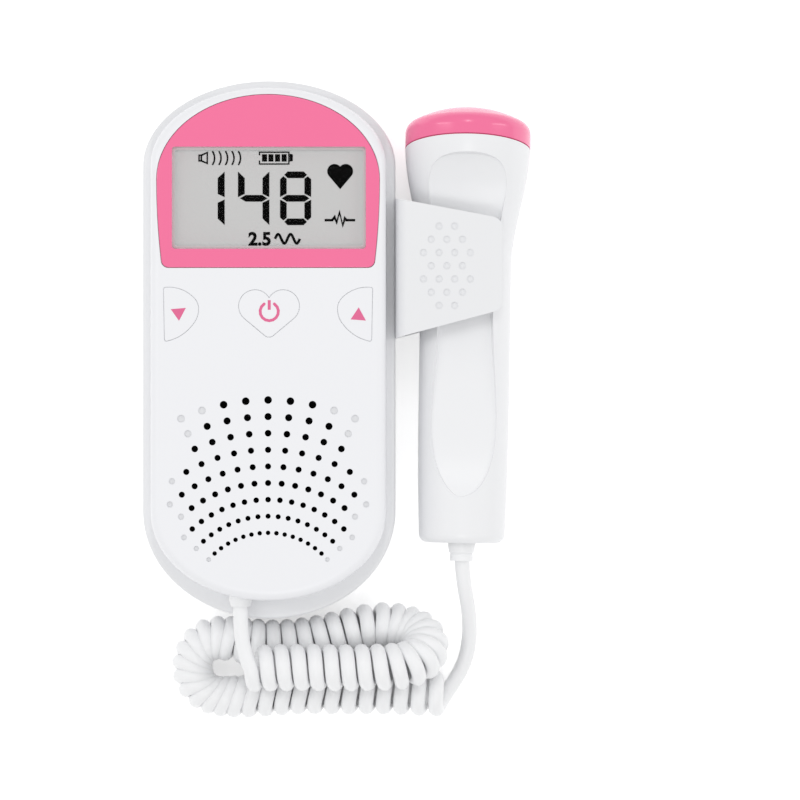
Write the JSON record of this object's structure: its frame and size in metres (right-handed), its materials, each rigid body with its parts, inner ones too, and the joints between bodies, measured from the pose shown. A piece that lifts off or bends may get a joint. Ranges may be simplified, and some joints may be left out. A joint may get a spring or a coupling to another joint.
{
  "type": "fetal doppler monitor",
  "caption": "Hand-held fetal heart monitor on its back: display, buttons, speaker grille, a probe in a side holder and the curly cord that joins them.",
  "frame": {"origin": "middle of the monitor's flat back, on the battery door's outer face", "axes": "+X towards the side that carries the probe, +Y along the monitor towards its display end, +Z out of the display face"},
  "size_m": [0.0976, 0.1612, 0.0319],
  "materials": {
    "white_shell": "smooth, slightly glossy white",
    "back_white": "smooth white, a little greyer than the front",
    "probe_white": "smooth, slightly glossy white",
    "pink_panel": "glossy pink",
    "clear_lens": "clear acrylic pane",
    "lcd": "grey reflective display with dark segments",
    "lcd_carrier": "matt off-white",
    "elastomer": "soft dark grey",
    "circuit_board": "green solder mask",
    "black_plastic": "matt black",
    "plunger_plastic": "matt dark grey",
    "screw_steel": "zinc-plated",
    "speaker_steel": "black pressed steel",
    "speaker_paper": "doped black paper",
    "magnet": "plated yoke",
    "cell_can": "plain printed can with a bright end",
    "contact_steel": "nickel-plated spring steel",
    "crystal": "silvered ceramic",
    "backing": "grey damping compound",
    "cord_white": "smooth satin white"
  },
  "bodies": {
    "unit": {"back_shell": "back_white", "front_shell": "white_shell", "cord_grommet": "cord_white", "case_screws": "screw_steel", "display_bezel": "pink_panel", "display_lens": "clear_lens", "lcd_glass": "lcd", "lcd_frame": "lcd_carrier", "zebra_strip": "elastomer", "main_board": "circuit_board", "board_screws": "screw_steel", "board_components": "black_plastic", "tact_switches": "black_plastic", "speaker_gasket": "elastomer", "speaker_frame": "speaker_steel", "speaker_cone": "speaker_paper", "speaker_magnet": "magnet", "battery_cells": "cell_can", "battery_contacts": "contact_steel", "headphone_jack": "black_plastic", "probe_holder": "back_white", "cord_unit_lead": "cord_white", "cord_coil": "cord_white"},
    "power_button": {"power_button": "white_shell", "power_plunger": "plunger_plastic"},
    "volume_down_button": {"volume_down_button": "white_shell", "volume_down_plunger": "plunger_plastic"},
    "volume_up_button": {"volume_up_button": "white_shell", "volume_up_plunger": "plunger_plastic"},
    "battery_door": {"battery_door": "back_white"},
    "probe": {"probe_front_shell": "probe_white", "probe_back_shell": "probe_white", "probe_screws": "screw_steel", "probe_cap": "pink_panel", "piezo_crystals": "crystal", "transducer_backing": "backing", "probe_strain_relief": "cord_white", "cord_probe_lead": "cord_white"}
  },
  "joints": [
    {"name": "power_press", "type": "slide", "parent": "unit", "child": "power_button", "axis": [0, 0, -1], "range_m": [0, 0.0006], "stiffness_N_per_m": 600},
    {"name": "volume_down_press", "type": "slide", "parent": "unit", "child": "volume_down_button", "axis": [0, 0, -1], "range_m": [0, 0.0006], "stiffness_N_per_m": 600},
    {"name": "volume_up_press", "type": "slide", "parent": "unit", "child": "volume_up_button", "axis": [0, 0, -1], "range_m": [0, 0.0006], "stiffness_N_per_m": 600},
    {"name": "battery_door_swing", "type": "hinge", "parent": "unit", "child": "battery_door", "pos_m": [0, -0.05225, 0], "axis": [-1, 0, 0], "range_deg": [0, 75]},
    {"name": "probe_pull", "type": "slide", "parent": "unit", "child": "probe", "axis": [1, 0, 0], "range_m": [0, 0.024]}
  ]
}
